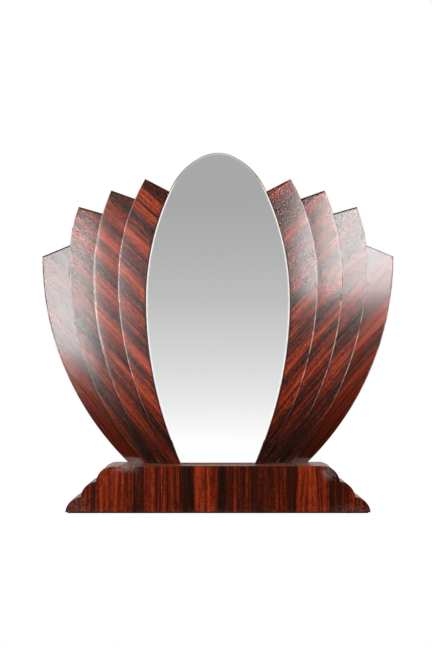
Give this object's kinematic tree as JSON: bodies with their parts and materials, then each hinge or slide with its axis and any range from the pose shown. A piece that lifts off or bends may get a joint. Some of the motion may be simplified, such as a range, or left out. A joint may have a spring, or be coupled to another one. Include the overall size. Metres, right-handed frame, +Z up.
{
  "type": "vanity mirror",
  "caption": "Dressing-table mirror: a tall oval plate between two fans of lapped, curved wooden petals on a stepped plinth with rounded lobes, faced in striped gloss veneer.",
  "frame": {"origin": "middle of the footprint, on the surface that the mirror stands on", "axes": "+Z up, the glass faces -Y, +X runs to the viewer's right along the plinth"},
  "size_m": [0.6186, 0.11, 0.6189],
  "materials": {
    "figured_veneer": "gloss lacquer",
    "stained_board": "dark stain",
    "backboard_ply": "satin",
    "mirror_plate": "silvered",
    "base_felt": "matte",
    "screw_brass": "aged",
    "dowel_beech": "raw",
    "bonding_pad": "matte"
  },
  "bodies": {
    "root": {"plinth_front_veneer": "figured_veneer", "plinth_back_veneer": "figured_veneer", "plinth_top_veneer": "figured_veneer", "middle_lobe_veneers": "figured_veneer", "lower_lobe_veneers": "figured_veneer", "backboard_edge_strip": "figured_veneer", "left_inner_petal_veneer": "figured_veneer", "left_second_petal_veneer": "figured_veneer", "left_third_petal_veneer": "figured_veneer", "left_outer_petal_veneer": "figured_veneer", "right_inner_petal_veneer": "figured_veneer", "right_second_petal_veneer": "figured_veneer", "right_third_petal_veneer": "figured_veneer", "right_outer_petal_veneer": "figured_veneer", "lower_tier": "stained_board", "middle_tier": "stained_board", "upper_tier": "stained_board", "backboard_cleat": "stained_board", "left_inner_petal": "stained_board", "left_second_petal": "stained_board", "left_third_petal": "stained_board", "left_outer_petal": "stained_board", "right_inner_petal": "stained_board", "right_second_petal": "stained_board", "right_third_petal": "stained_board", "right_outer_petal": "stained_board", "mirror_backboard": "backboard_ply", "mirror_glass": "mirror_plate", "base_felt": "base_felt", "left_fan_screws": "screw_brass", "right_fan_screws": "screw_brass", "backboard_screws": "screw_brass", "cleat_screws": "screw_brass", "cleat_foot_screws": "screw_brass", "plinth_screws": "screw_brass", "left_fan_dowels": "dowel_beech", "right_fan_dowels": "dowel_beech", "glass_bonding_pads": "bonding_pad"}
  },
  "joints": []
}
